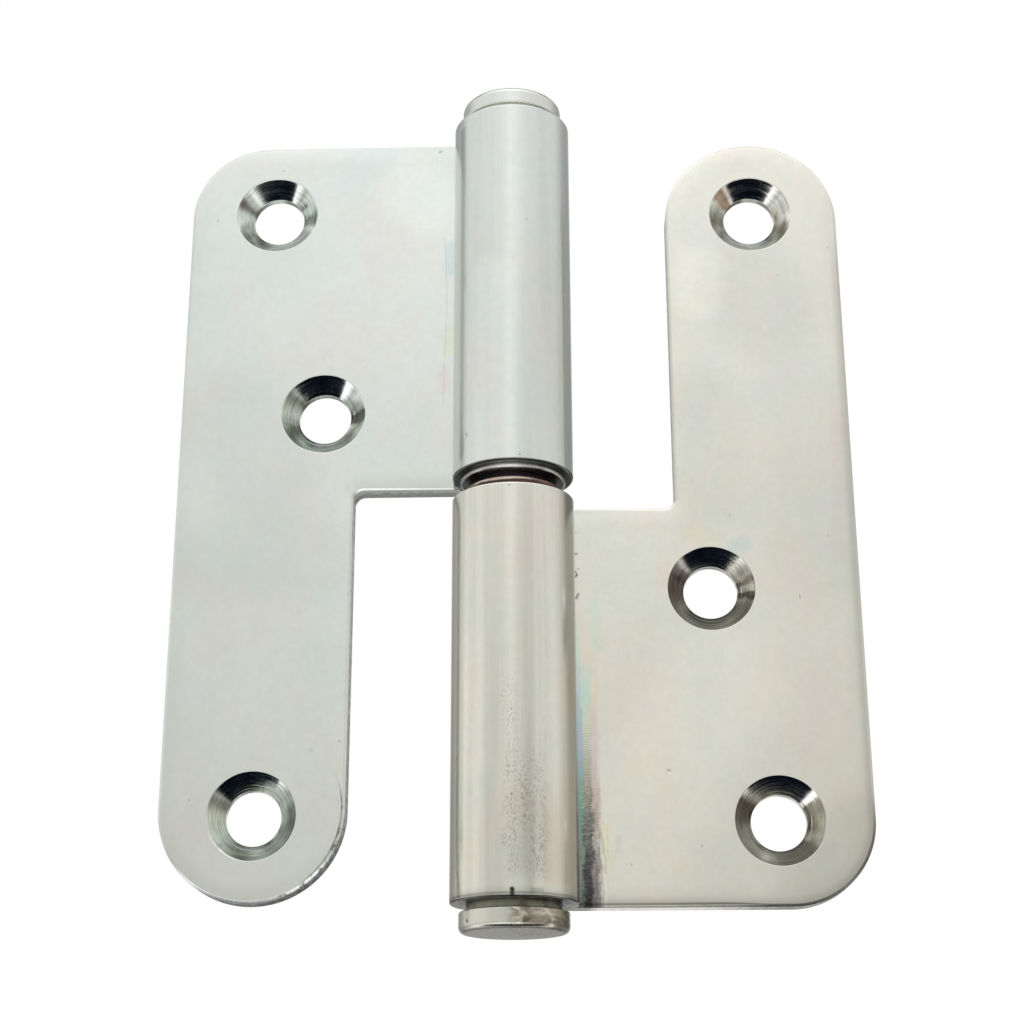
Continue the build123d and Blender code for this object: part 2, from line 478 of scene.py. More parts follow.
class Shader:
    """Adds and links the nodes of one material or world."""

    def __init__(self, owner):
        owner.use_nodes = True
        self.owner = owner
        self.nodes, self.links = owner.node_tree.nodes, owner.node_tree.links
        self.nodes.clear()

    def node(self, kind, values=(), **settings):
        """A new node. The values are for its sockets, in order or by name."""
        node = self.nodes.new(kind)
        for name, setting in settings.items():
            setattr(node, name, setting)
        for place, value in values.items() if isinstance(values, dict) else enumerate(values):
            if isinstance(value, Value):
                self.links.new(value.socket, node.inputs[place])
            else:
                node.inputs[place].default_value = value
        return node

    def result(self, kind, values=(), output=0, **settings):
        return Value(self, self.node(kind, values, **settings).outputs[output])

    def math(self, operation, *values):
        return self.result("ShaderNodeMath", values, operation=operation)

    def vector(self, operation, *values, output=0):
        return self.result("ShaderNodeVectorMath", values, output, operation=operation)

    def axes(self, place):
        """The place's x, y and z."""
        return [self.result("ShaderNodeSeparateXYZ", (place,), axis) for axis in "XYZ"]

    def join(self, x, y, z):
        return self.result("ShaderNodeCombineXYZ", (x, y, z))

    def length(self, x, y):
        return self.vector("LENGTH", self.join(x, y, 0.0), output="Value")

    def mix(self, factor, a, b, blend="MIX"):
        values = {MIX_FACTOR: factor, MIX_A: a, MIX_B: b}
        return self.result("ShaderNodeMix", values, MIX_RESULT, data_type="RGBA", blend_type=blend)

    def tinted(self, tone, amount, shade):
        """The tone multiplied by a shade, as far as the amount says."""
        return self.mix(amount, tone, self.mix(1.0, tone, shade, "MULTIPLY"))

    def ramp(self, factor, stops):
        """A colour ramp. Each stop is its place, then one grey level or red, green and blue."""
        node = self.node("ShaderNodeValToRGB", (factor,))
        elements = node.color_ramp.elements
        while len(elements) < len(stops):
            elements.new(0.5)
        for element, (place, *levels) in zip(elements, stops):
            element.position, element.color = place, colour(*levels)
        return Value(self, node.outputs["Color"])


class Metal(Shader):
    """A metal's material. Its tone is built up in layers, by the place on the piece at rest."""

    def __init__(self, name):
        super().__init__(bpy.data.materials.new(name))
        metres = self.result("ShaderNodeTexCoord", output="Object")
        self.place = self.vector("MULTIPLY", metres, (1 / MM, 1 / MM, 1 / MM))
        self.x, self.y, self.z = self.axes(self.place)
        self.tone = None

    def noise(self, scale, detail=2.0, roughness=0.5, distortion=0.0, place=None):
        """Noise round 0.5. The scale is one number, or one for each axis."""
        place = place or self.place
        if isinstance(scale, tuple):
            place, scale = self.vector("MULTIPLY", place, scale), 1.0
        values = {
            "Vector": place,
            "Scale": scale,
            "Detail": detail,
            "Roughness": roughness,
            "Distortion": distortion,
        }
        return self.result("ShaderNodeTexNoise", values, "Fac")

    def tint(self, amount, shade):
        self.tone = self.tinted(self.tone, amount, shade)

    def cover(self, amount, tone):
        self.tone = self.mix(amount, self.tone, tone)

    def bump(self, height, depth, under=None):
        """Normals of a surface whose height, from 0 to 1, stands for that depth in millimetres."""
        values = {"Height": height, "Distance": depth * MM}
        if under is not None:
            values["Normal"] = under
        return self.result("ShaderNodeBump", values, "Normal")

    def finish(self, roughness, normal):
        """End the material with its tone."""
        values = {"Metallic": 1.0, "Base Color": self.tone, "Roughness": roughness, "Normal": normal}
        surface = self.result("ShaderNodeBsdfPrincipled", values)
        self.node("ShaderNodeOutputMaterial", {"Surface": surface})
        return self.owner


def colour(*levels):
    """A colour of red, green and blue, or a grey of one level."""
    red, green, blue = levels if len(levels) == 3 else levels * 3
    return (red, green, blue, 1.0)


# In the layers below, bare numbers are places in millimetres between which a layer comes and goes,
# and the noises' scales.

# Tints of the thin film on the plating
FILM = [
    (0.34, 1.00, 0.94, 0.95),
    (0.43, 1.00, 0.98, 0.93),
    (0.50, 0.99),
    (0.57, 0.93, 1.00, 0.96),
    (0.66, 0.93, 0.97, 1.00),
]
FILM_SHARE = 0.5
DULL_SHARE = 0.965  # how bright the plating's duller clouds are
MOTTLE = [(0.3, 0.975), (0.7, 1.02)]
STREAKS = [(0.35, 0.93), (0.5, 1.0), (0.65, 1.04)]
RIM = 0.1  # blur at the knuckle's outline


def plating(metal, base):
    """The plating's cloudy colour, with faint tints of a thin film."""
    darkened = [level * DULL_SHARE for level in base]
    metal.tone = metal.ramp(metal.noise(0.06, 3, 0.6), [(0.35, *darkened), (0.65, *base)])
    metal.tint(FILM_SHARE, metal.ramp(metal.noise((0.14, 0.14, 0.084), 3, 0.6, 0.6), FILM))
    metal.tint(1.0, metal.ramp(metal.noise(0.9, 4, 0.65), MOTTLE))


def knuckle_only(metal):
    """1 on the knuckle and 0 on the plate."""
    return abs(metal.x).spread(KNUCKLE_RADIUS + RIM, KNUCKLE_RADIUS - RIM)


def knuckle_streaks(metal, share):
    """Faint streaks along the knuckle, as rolling leaves them."""
    streak = metal.noise((0.9, 0.9, 0.02), 3, 0.6, 0.3)
    metal.tint(knuckle_only(metal) * share, metal.ramp(streak, STREAKS))


def on_face(x, z):
    return (x, FACE_SETBACK, z)


def on_knuckle(turn, z):
    """A place on the knuckle, by degrees round from its front towards +X."""
    angle = math.radians(turn)
    return (KNUCKLE_RADIUS * math.sin(angle), -KNUCKLE_RADIUS * math.cos(angle), z)


def anywhere(x, y, z):
    return (x, y, z)


MARK_CORE = 0.3  # the share of a mark's radius that has its full shade


def marks(metal, spots, where):
    """Small marks, scratches, tints and painted reflections. Each is (start, end, radius, shade, amount
    of the shade).
    """
    for start, end, radius, shade, amount in spots:
        start, end = Vector(where(*start)), Vector(where(*end))
        run = end - start
        away = metal.vector("SUBTRACT", metal.place, start)
        if run.length > 0:
            along = metal.vector("DOT_PRODUCT", away, run / run.length_squared, output="Value")
            along = along.most(0.0).least(1.0)
            way = metal.vector("MULTIPLY", metal.join(along, along, along), run)
            away = metal.vector("SUBTRACT", away, way)
        reach = metal.vector("LENGTH", away, output="Value")
        metal.tint(reach.spread(radius, radius * MARK_CORE, 0.0, amount), shade)


def dot(place, radius, amount):
    """A round dark speck."""
    return (place, place, radius, SOOT, amount)


def tick(start, end, radius, amount):
    """A short dark scratch."""
    return (start, end, radius, SOOT, amount)


def outer_edge(metal):
    """The frame leaf's plate is darker along its outer edge, most of all round the lower corner, with a
    dark line of painted shade along the broken edge of its lower part.
    """
    x, z = metal.x, metal.z
    past_side = (x - (LEAF_REACH - CORNER_RADIUS)).most(0.0)
    past_end = (KNUCKLE_BOTTOM + CORNER_RADIUS - z).most(0.0)
    inset = CORNER_RADIUS - metal.length(past_side, past_end)
    metal.tint(inset.spread(1.4, 0.4) * z.spread(37.0, 30.0), colour(0.82))
    outward = x.spread(24.0, 30.0)
    # A thin dark line of painted shade along the broken edge
    line_start = x.spread(24.0, 30.0, 0.58, 0.40)
    line = inset.spread(line_start, line_start - 0.12) * inset.spread(0.20, 0.30).most(outward)
    line *= z.spread(-36.0, -43.0) * x.spread(8.0, 32.0, 0.6, 1.0)
    metal.tint(line, colour(0.34))


def leg_tip_edge(metal):
    """The door leaf's leg at the right of its tip: a dark line of painted shade beside a broken edge with
    torn spots.
    """
    aside, up = metal.x + LEG_MIDDLE, metal.z + (LEG_TIP - LEG_RADIUS)
    inset = LEG_RADIUS - metal.length(aside, up)
    ragged = metal.noise(1.3, 3, 0.6)
    # The dark line is painted shade
    line = inset.window(0.26, 0.38, 0.44, 0.56) * aside.spread(5.5, 8.0) * up.spread(5.0, -1.0)
    metal.tint(line, metal.ramp(ragged, [(0.40, 0.22), (0.60, 0.62)]))
    bevel = inset.spread(0.34, 0.28) * up.spread(2.0, -3.0)
    bevel *= aside.spread(2.0, 5.0) * aside.spread(11.0, 9.5, 0.4, 1.0)
    metal.tint(bevel, metal.ramp(ragged, [(0.40, 0.30), (0.48, 1.05)]))


def lower_rim(metal, end):
    """The knuckle's lower rim, painted dark as shade. The end is its height."""
    rim = metal.z.window(end - 0.3, end - 0.2, end + 0.12, end + 0.26)
    metal.tint(rim * knuckle_only(metal), colour(0.22))


def zinc(metal, roughness=0.22):
    """End a zinc-plated material: a little uneven, with soft and varied gloss."""
    uneven = metal.bump(metal.noise(0.5, 3, 0.5), 0.006)
    fine = metal.noise(2.2, 3, 0.6)
    return metal.finish(
        fine.vary(roughness - 0.03, roughness + 0.04), metal.bump(fine, 0.0025, uneven)
    )


SOOT = colour(0.10, 0.10, 0.09)
SKY, CREAM, PINK, MINT = (
    colour(0.82, 0.94, 1.00),
    colour(1.00, 0.99, 0.87),
    colour(1.00, 0.91, 0.93),
    colour(0.90, 1.00, 0.95),
)
# On the face a mark's places are (x, z), on the knuckle (degrees from its front, z)
DOOR_FACE_MARKS = [
    dot((-30.3, 46.6), 0.20, 0.35),
    tick((-38.8, 39.5), (-38.7, 39.3), 0.15, 0.28),
    tick((-9.7, 49.1), (-9.4, 49.2), 0.22, 0.45),
    dot((-20.8, -30.3), 0.24, 0.30),
    dot((-24.1, -31.3), 0.50, 0.10),
    dot((-38.3, -37.2), 0.18, 0.22),
    tick((-20.3, -12.2), (-20.25, -11.9), 0.16, 0.28),
    ((-7.9, 31.6), (-7.9, 35.0), 1.30, SKY, 0.8),
    ((-8.3, 20.0), (-8.1, 23.0), 1.10, CREAM, 0.9),
    ((-8.9, 15.0), (-8.8, 17.5), 1.20, PINK, 0.7),
    ((-11.0, 9.0), (-11.0, 12.0), 1.60, MINT, 0.6),
    ((-8.8, 36.2), (-8.5, 27.0), 0.16, colour(0.80), 0.5),
    ((-8.5, 27.0), (-8.9, 13.0), 0.14, colour(0.84), 0.5),
    ((-11.0, 42.0), (-13.0, 43.0), 7.0, colour(1.07), 1.0),
    ((-36.0, 12.0), (-31.0, 4.0), 10.0, colour(0.94), 1.0),
    ((-37.0, -7.0), (-24.0, -7.0), 8.0, colour(0.95), 1.0),
]
DOOR_KNUCKLE_MARKS_AND_REFLECTIONS = [
    dot((-47.6, 5.6), 0.20, 0.55),
    dot((-46.9, 5.3), 0.16, 0.35),
    dot((7.9, 2.0), 0.18, 0.50),
    dot((-2.4, 26.6), 0.22, 0.12),
    dot((15.4, 33.5), 0.28, 0.10),
    # Painted reflections on the knuckle: a dark stripe down its left, a highlight left of its front, a
    # warm tint on its right
    ((-56.0, 3.0), (-56.0, 48.0), 0.75, colour(0.70), 0.9),
    ((-22.0, 2.0), (-22.0, 26.0), 4.0, colour(1.08), 1.0),
    ((36.0, 2.0), (36.0, 28.0), 3.5, colour(1.00, 0.98, 0.96), 0.9),
]
FRAME_FACE_MARKS = [
    dot((26.6, -2.5), 0.20, 0.22),
    dot((38.5, -5.3), 0.18, 0.28),
    tick((34.6, -12.8), (34.65, -13.2), 0.16, 0.26),
    tick((18.0, -34.1), (18.3, -34.15), 0.20, 0.34),
    dot((21.7, -43.0), 0.20, 0.32),
    dot((13.5, -45.1), 0.20, 0.28),
    dot((34.0, 30.2), 0.18, 0.18),
    dot((40.7, 34.1), 0.18, 0.22),
    dot((7.8, -1.3), 0.24, 0.50),
    dot((7.65, -4.5), 0.20, 0.25),
    dot((7.62, -7.25), 0.24, 0.65),
    dot((7.85, -9.2), 0.17, 0.50),
    tick((7.50, -9.5), (7.68, -9.9), 0.16, 0.55),
    tick((7.68, -9.9), (7.55, -10.2), 0.18, 0.70),
    tick((7.82, -12.4), (7.58, -12.9), 0.22, 0.65),
    ((27.1, -6.6), (27.9, -6.2), 1.60, SKY, 0.8),
    ((22.0, -5.0), (24.0, -5.5), 1.60, CREAM, 0.6),
    ((18.4, -9.0), (18.0, -11.0), 1.30, PINK, 0.6),
    ((39.5, -8.0), (40.5, 12.0), 1.20, PINK, 0.35),
    ((9.6, -13.5), (10.0, -19.0), 1.20, MINT, 0.8),
    ((10.6, -41.0), (10.8, -45.0), 0.80, CREAM, 1.0),
    ((12.0, -42.0), (12.0, -43.5), 0.50, PINK, 0.8),
    ((30.0, 29.0), (33.0, 25.0), 10.0, colour(0.92), 1.0),
    ((36.5, 12.0), (37.5, -8.0), 10.0, colour(0.94), 1.0),
    ((24.0, 12.0), (24.5, 0.0), 8.0, colour(0.93), 1.0),
    ((37.0, -47.5), (41.0, -43.0), 9.0, colour(0.86), 1.0),
    ((24.2, 31.5), (24.0, 27.0), 4.50, colour(1.10), 1.0),
    ((13.0, -43.0), (24.0, -24.0), 11.0, colour(1.08), 1.0),
]
FRAME_KNUCKLE_MARKS_AND_REFLECTIONS = [
    dot((-2.4, -1.9), 0.18, 0.40),
    dot((-0.6, -1.8), 0.14, 0.30),
    tick((-0.2, -49.2), (-0.2, -49.8), 0.36, 0.95),
    tick((-1.6, -49.2), (1.2, -49.3), 0.20, 0.60),
    tick((17.0, -49.3), (26.0, -49.3), 0.40, 0.25),
    dot((-0.5, -29.0), 0.16, 0.45),
    dot((-0.5, -38.7), 0.20, 0.60),
    # A dark band of painted reflection down the knuckle's right side
    ((70.0, -49.6), (70.0, -1.8), 3.0, colour(0.55), 1.0),
]

# The band of the frame leaf's face beside its knuckle. Its tints run in three columns, from the seam
# outward, each by height from the band's bottom up. A column is where it starts and its tints.
BAND_LOW, BAND_HIGH = -50.0, -5.0
SEAM_COLUMN = [
    (0.00, 0.24, 0.29, 0.28), (0.16, 0.30, 0.38, 0.37), (0.23, 0.26, 0.46, 0.42),
    (0.31, 0.36, 0.56, 0.56), (0.42, 0.60, 0.70, 0.94), (0.49, 0.62, 0.77, 0.92),
    (0.56, 0.78, 0.82, 1.00), (0.67, 0.90, 1.00, 0.99), (0.80, 1.00),
]
DARK_COLUMN = [
    (0.00, 0.07, 0.07, 0.08), (0.09, 0.10, 0.10, 0.11), (0.16, 0.20, 0.21, 0.22),
    (0.23, 0.28, 0.30, 0.29), (0.31, 0.50, 0.50, 0.47), (0.42, 0.78, 0.83, 0.78),
    (0.49, 0.90, 0.97, 0.86), (0.56, 0.74, 0.98, 0.97), (0.67, 1.04, 0.96, 0.91),
    (0.80, 1.00),
]
OUTER_COLUMN = [
    (0.00, 0.28, 0.26, 0.29), (0.09, 0.38, 0.34, 0.37), (0.16, 0.60, 0.58, 0.60),
    (0.23, 0.62, 0.52, 0.52), (0.31, 0.82, 0.71, 0.72), (0.42, 0.96, 0.84, 0.90),
    (0.49, 1.00, 0.85, 0.90), (0.56, 1.05, 0.94, 0.85), (0.67, 1.00, 0.98, 1.00),
    (0.80, 1.00),
]
DARK_START, OUTER_START, BAND_END = 8.0, 9.1, 9.95  # from the pin's axis
COLUMN_BLUR, BAND_BLUR = 0.22, 0.35
RIB_PITCH = 0.31  # between the finest ribs across the band
RIB_SHADES = [(0.3, 0.90), (0.7, 1.08)]
SCRATCH_SHADES = [(0.36, 0.55), (0.50, 1.0), (0.62, 1.55)]
LINE_SHADES = [(0.38, 0.62), (0.50, 1.0), (0.62, 1.15)]


def band_tints(metal, across):
    """The band's colour, from column to column."""
    height = metal.z.spread(BAND_LOW, BAND_HIGH, kind="LINEAR")
    band = metal.ramp(height, SEAM_COLUMN)
    for start, tints in ((DARK_START, DARK_COLUMN), (OUTER_START, OUTER_COLUMN)):
        begun = across.spread(start - COLUMN_BLUR, start + COLUMN_BLUR)
        band = metal.mix(begun, band, metal.ramp(height, tints))
    return band


def band_ribs(metal, across, face_only):
    """Fine ribs over the middle of the band."""
    z = metal.z
    phase = z / RIB_PITCH + metal.noise(0.6) * 3.0
    rib = metal.math("SINE", phase * (2 * math.pi))
    middle = across.window(7.8, 8.1, 9.0, 9.4) * z.window(-39.0, -35.0, -31.0, -26.0)
    metal.tint(middle * face_only, metal.ramp(rib, RIB_SHADES))


def knuckle_side_band(metal):
    """The frame leaf's face beside its knuckle: tinted above, dark and ribbed below."""
    x, z = metal.x, metal.z
    across = x + metal.noise((0.9, 0.9, 0.45), 3, 0.6).vary(-0.22, 0.22)
    face_only = (metal.y - FACE_SETBACK).window(-0.25, -0.15, 0.40, 0.50)
    face_only *= x.spread(KNUCKLE_RADIUS - 0.3, KNUCKLE_RADIUS - 0.2)
    inside = across.spread(BAND_END + BAND_BLUR, BAND_END - BAND_BLUR)
    inside *= face_only * z.spread(-13.0, -19.0)
    metal.tint(inside, band_tints(metal, across))
    band_ribs(metal, across, face_only)
    torn = metal.noise((1.6, 0.3, 5.2), 3, 0.65, 0.4)
    low = inside * z.spread(-32.0, -41.0)
    low *= across.spread(7.7, 8.1, 0.3, 1.0) * across.spread(9.4, 8.9, 0.35, 1.0)
    metal.tint(low, metal.ramp(torn, SCRATCH_SHADES))
    lines = metal.noise((3.4, 1.0, 0.35), 3, 0.55, 1.4)
    beside = x.window(9.0, 9.4, 9.8, 11.4) * z.spread(-37.0, -43.0, 0.0, 0.8) * face_only
    metal.tint(beside, metal.ramp(lines, LINE_SHADES))


DIMPLE_SHADES = [(0.32, 0.60, 0.59, 0.56), (0.42, 0.84, 0.83, 0.81), (0.51, 0.96), (0.62, 1.07)]


def knuckle_wear(metal):
    """Rubbed and dimpled plating down the front of the frame leaf's knuckle, with a dark streak of
    painted reflection over its lower front.
    """
    x, z = metal.x, metal.z
    front = metal.y.spread(-2.0, -4.0)
    above_rim = z.spread(-49.0, -46.5)
    patchy = metal.noise((0.9, 0.9, 0.35), 3, 0.6)
    aside = x + patchy.vary(-0.5, 0.5)
    left = aside.window(-1.2, -0.5, 0.5, 1.2) * z.spread(-17.0, -40.0)
    right = aside.window(1.6, 2.4, 3.4, 4.4) * z.spread(-27.0, -42.0)
    between = aside.window(0.6, 1.4, 2.2, 3.4) * z.spread(-33.0, -38.0)
    between *= z.spread(-44.0, -40.0, 0.25, 1.0)
    wear_and_highlight = left.most(right).most(between) * above_rim * front
    wear_and_highlight *= patchy.spread(0.34, 0.56, 0.15, 1.0)
    metal.tint(wear_and_highlight, metal.ramp(metal.noise((4.6, 4.6, 3.0), 2, 0.5), DIMPLE_SHADES))
    # A dark streak of painted reflection down the knuckle's lower front
    darkened = x.window(-1.4, 0.2, 3.6, 4.8) * front * z.spread(-30.0, -42.0) * above_rim
    metal.tint(darkened, colour(0.87))
    flush = x.spread(2.6, 4.6) * z.spread(-34.0, -44.0, 0.0, 0.9) * front
    metal.tint(flush * z.spread(-49.5, -48.0), colour(0.96, 0.87, 0.83))


def frame_leaf_zinc():
    metal = Metal("zinc_frame_leaf")
    plating(metal, (0.86, 0.845, 0.775))
    knuckle_streaks(metal, 0.85)
    knuckle_side_band(metal)
    knuckle_wear(metal)
    marks(metal, FRAME_FACE_MARKS, on_face)
    marks(metal, FRAME_KNUCKLE_MARKS_AND_REFLECTIONS, on_knuckle)
    outer_edge(metal)
    lower_rim(metal, KNUCKLE_BOTTOM)
    return zinc(metal)


def door_leaf_zinc():
    metal = Metal("zinc_door_leaf")
    plating(metal, (0.82, 0.85, 0.82))
    knuckle_streaks(metal, 0.5)
    marks(metal, DOOR_FACE_MARKS, on_face)
    marks(metal, DOOR_KNUCKLE_MARKS_AND_REFLECTIONS, on_knuckle)
    leg_tip_edge(metal)
    lower_rim(metal, -KNUCKLE_TOP)
    return zinc(metal)


TEAR_SHADES = [(0.35, 0.75), (0.65, 1.05)]
# Shades of the leg's torn spots: the dark ones are tears, the brightest is a painted glint
LEG_TEAR_AND_GLINT_SHADES = [(0.38, 0.14), (0.49, 0.48), (0.57, 0.75), (0.66, 2.0)]


def door_leg_tear(metal):
    """The door leaf's leg is darker towards its tip, and torn there with dark spots and painted glints.
    """
    x, z = metal.x, metal.z
    on_leg = x.spread(-18.0, -20.0)
    tip = z.spread(-45.5, -48.5) * on_leg
    metal.tint(z.spread(-5.0, -44.0) * on_leg, colour(0.50))
    metal.tint(tip, colour(0.55))
    right = z.spread(-40.0, -45.0) * x.spread(-32.0, -27.0) * on_leg
    ragged = metal.noise((1.1, 0.5, 1.1), 3, 0.6)
    metal.tint(right.most(tip * 0.7), metal.ramp(ragged, LEG_TEAR_AND_GLINT_SHADES))


def knuckle_ends(metal):
    """Painted shade on the knuckles' ends: dark, all but the upper one's top, and darkest in the gap."""
    out = metal.length(metal.x, metal.y)
    knuckle = out.spread(KNUCKLE_RADIUS + 0.1, KNUCKLE_RADIUS - 0.15)
    metal.cover(knuckle * metal.z.spread(49.0, 45.0, 0.0, 0.85), colour(0.28, 0.29, 0.27))
    aside = abs(metal.x).spread(2.5, 5.0)
    # Nearly black painted shade in the gap between the knuckles
    in_gap = knuckle * abs(metal.z).spread(4.0, 2.0)
    metal.cover(in_gap, metal.mix(aside, colour(0.14), colour(0.016)))


def sheared_zinc():
    """The sheet's edge: burnished near the face, torn and darker behind, with a painted highlight and
    more gloss below.
    """
    metal = Metal("zinc_sheared_edge")
    tear = metal.noise((1.6, 0.3, 1.6), 4, 0.7)
    depth = metal.y + tear.vary(-0.6, 0.6)
    torn = depth.spread(FACE_SETBACK + 0.9, FACE_SETBACK + 1.5)
    metal.tone = metal.mix(torn, colour(0.67, 0.68, 0.64), colour(0.47, 0.47, 0.44))
    metal.tint(torn, metal.ramp(tear, TEAR_SHADES))
    door_leg_tear(metal)
    # A painted highlight along the frame leaf's lower edge, which is also glossier there
    wear_and_highlight = metal.x.window(8.0, 10.0, 21.0, 31.0) * metal.z.spread(-49.7, -49.9)
    wear_and_highlight *= tear.spread(0.25, 0.45, 0.5, 1.0)
    metal.cover(wear_and_highlight, colour(1.0, 0.98, 0.97))
    knuckle_ends(metal)
    return metal.finish(tear.vary(0.28, 0.42) - wear_and_highlight * 0.2, metal.bump(tear, 0.03))


RING_SHADES = [(0.36, 0.74), (0.50, 0.98), (0.64, 1.08)]
PATCH_SHADES = [
    (0.34, 0.40, 0.38, 0.33),
    (0.44, 0.68, 0.69, 0.64),
    (0.54, 0.86, 0.88, 0.84),
    (0.66, 1.00, 1.00, 0.98),
]
THROAT_STEP = 0.715  # where the cutter left a step, as a share of the countersink's radius
BRIGHT = colour(1.0)
PALE = colour(0.90, 0.90, 0.86)
OLIVE = colour(0.21, 0.21, 0.18)
UMBER = colour(0.12, 0.095, 0.08)
RUST = colour(0.48, 0.34, 0.25)
HOLE_OFFSET = 7.3  # between one hole's noise and the next one's
PATCH_CORE, PATCH_FADE = 0.45, 1.4  # shares of a patch's reach where it is full, and where it ends
RAGGED = 0.07  # how far a patch's ends are ragged, in radians
STEP_BLUR = 0.012
STEEL_DULL_SHARE = 0.84  # how bright the duller clouds on turned steel are

# The countersinks' patches are stains and painted reflections, bright and dark
# Patches in the countersinks: the hole's number, its middle in degrees from the right and round
# against the clock, how many degrees it reaches each way, the colour and how much of it there is
DOOR_PATCHES = [
    (0, 156, 10, UMBER, 0.75),
    (0, 136, 14, PALE, 0.70),
    (0, 190, 22, PALE, 0.80),
    (0, 52, 18, PALE, 0.90),
    (0, 22, 14, BRIGHT, 0.60),
    (0, -6, 12, OLIVE, 0.70),
    (0, 228, 22, OLIVE, 0.60),
    (0, 300, 26, PALE, 0.60),
    (1, 140, 12, OLIVE, 0.50),
    (1, 172, 20, PALE, 0.60),
    (1, 34, 30, BRIGHT, 1.00),
    (1, -3, 9, UMBER, 0.80),
    (1, 222, 30, OLIVE, 0.60),
    (1, 300, 30, PALE, 0.50),
    (2, 152, 20, UMBER, 0.65),
    (2, 190, 24, PALE, 0.85),
    (2, 62, 9, BRIGHT, 0.90),
    (2, 20, 22, PALE, 0.55),
    (2, 300, 60, OLIVE, 0.50),
    (2, 235, 18, BRIGHT, 0.50),
]
FRAME_PATCHES = [
    (2, 142, 13, RUST, 0.90),
    (2, 184, 24, OLIVE, 0.45),
    (2, 20, 34, BRIGHT, 0.95),
    (2, -40, 20, OLIVE, 0.60),
    (2, 250, 30, PALE, 0.50),
    (1, 130, 8, PALE, 0.80),
    (1, 178, 46, UMBER, 0.95),
    (1, 240, 44, OLIVE, 0.95),
    (1, 30, 10, BRIGHT, 0.80),
    (1, 14, 6, UMBER, 0.50),
    (1, 2, 7, BRIGHT, 0.60),
    (1, -9, 6, UMBER, 0.80),
    (1, -50, 40, OLIVE, 0.90),
    (0, 134, 9, PALE, 0.85),
    (0, 164, 26, UMBER, 0.90),
    (0, 214, 40, OLIVE, 0.90),
    (0, 38, 9, BRIGHT, 0.90),
    (0, 10, 22, PALE, 0.60),
    (0, -45, 8, UMBER, 0.60),
    (0, -70, 40, OLIVE, 0.92),
]


def ring_noises(metal, aside, up, radius, offset):
    """Noises round a hole: its cut rings, its uneven tone, and how ragged the patches' ends are."""
    noises = []
    for turns, rings in ((0.8, 24.0), (1.5, 2.2), (2.0, 3.0)):
        place = metal.join(aside * turns, up * turns + offset, radius * rings)
        noises.append(metal.noise(1.0, 2, 0.6, place=place))
    return noises


def cone_patches(metal, patches, number, aside, up, ragged):
    """Stains and painted reflections, bright and dark, that each reach so far round their hole."""
    for hole, middle, reach, shade, amount in patches:
        turn = math.radians(middle)
        away = metal.math("ARCCOSINE", aside * math.cos(turn) + up * math.sin(turn)) + ragged
        far, near = math.radians(PATCH_FADE * reach), math.radians(PATCH_CORE * reach)
        here = metal.math("COMPARE", number, hole, 0.5)
        metal.cover(away.spread(far, near, 0.0, amount) * here, shade)


def turned_zinc(name, seed, patches, cast, turned_by=0):
    """A leaf's countersinks: bright cut rings, uneven round the hole, with stains and painted
    reflections.
    """
    metal = Metal(name)
    turns, radius, _ = metal.axes(metal.result("ShaderNodeUVMap", uv_map="turning"))
    number = metal.math("FLOOR", turns)
    angle = turns * (2 * math.pi)
    aside, up = metal.math("COSINE", angle), metal.math("SINE", angle)
    rings, uneven, ends = ring_noises(metal, aside, up, radius, number * HOLE_OFFSET + seed)
    turned = [(hole, middle + turned_by, *others) for hole, middle, *others in patches]
    metal.tone = metal.ramp(uneven, PATCH_SHADES)
    cone_patches(metal, turned, number, aside, up, ends.vary(-RAGGED, RAGGED))
    metal.tint(1.0, metal.ramp(rings, RING_SHADES))
    metal.tint(1.0, cast)
    step = radius.spread(THROAT_STEP - STEP_BLUR, THROAT_STEP + STEP_BLUR)
    facing = math.cos(math.radians(turned_by))
    step *= up.spread(0.45 * facing, 0.1 * facing)
    return metal.finish(rings.vary(0.10, 0.17), metal.bump(step, 0.03, metal.bump(rings, 0.016)))


RING_FINENESS = 2.5
GROOVE = 0.006  # depth of the turning marks
TURNED_SHADES = [(0.3, 0.92), (0.7, 1.05)]


def turned_rings(metal):
    """A noise that runs in rings round the pin's axis."""
    radius = metal.length(metal.x, metal.y)
    place = metal.join(metal.x * 0.06, metal.z * RING_FINENESS, radius * RING_FINENESS)
    return metal.noise(1.0, 3, 0.6, place=place)


def turned_steel(name, base, roughness):
    """A turned piece: rings of turning, a cloudy tone and uneven gloss."""
    metal = Metal(name)
    rings = turned_rings(metal)
    darkened = [level * STEEL_DULL_SHARE for level in base]
    metal.tone = metal.ramp(metal.noise(0.35, 4, 0.6), [(0.35, *darkened), (0.65, *base)])
    metal.tint(1.0, metal.ramp(rings, TURNED_SHADES))
    rough = rings.vary(roughness - 0.04, roughness + 0.06)
    return metal.finish(rough, metal.bump(rings, GROOVE))


def bronze_metal():
    """Dark bronze with a painted highlight along its upper edge, brightest at the front."""
    metal = Metal("bronze")
    rings = turned_rings(metal)
    metal.tone = metal.ramp(rings, [(0.35, 0.05, 0.03, 0.027), (0.65, 0.11, 0.07, 0.058)])
    edge = metal.z + metal.noise(0.6, 3, 0.6).vary(-0.08, 0.08)
    # A painted highlight on the upper edge, brightest at the front
    wear_and_highlight = metal.x.window(-5.2, -3.6, 1.0, 3.4)
    wear_and_highlight_tone = metal.mix(wear_and_highlight, colour(0.24, 0.15, 0.12), colour(0.66, 0.54, 0.47))
    metal.cover(edge.spread(-0.56, -0.42), wear_and_highlight_tone)
    return metal.finish(rings.vary(0.20, 0.30), metal.bump(rings, GROOVE))


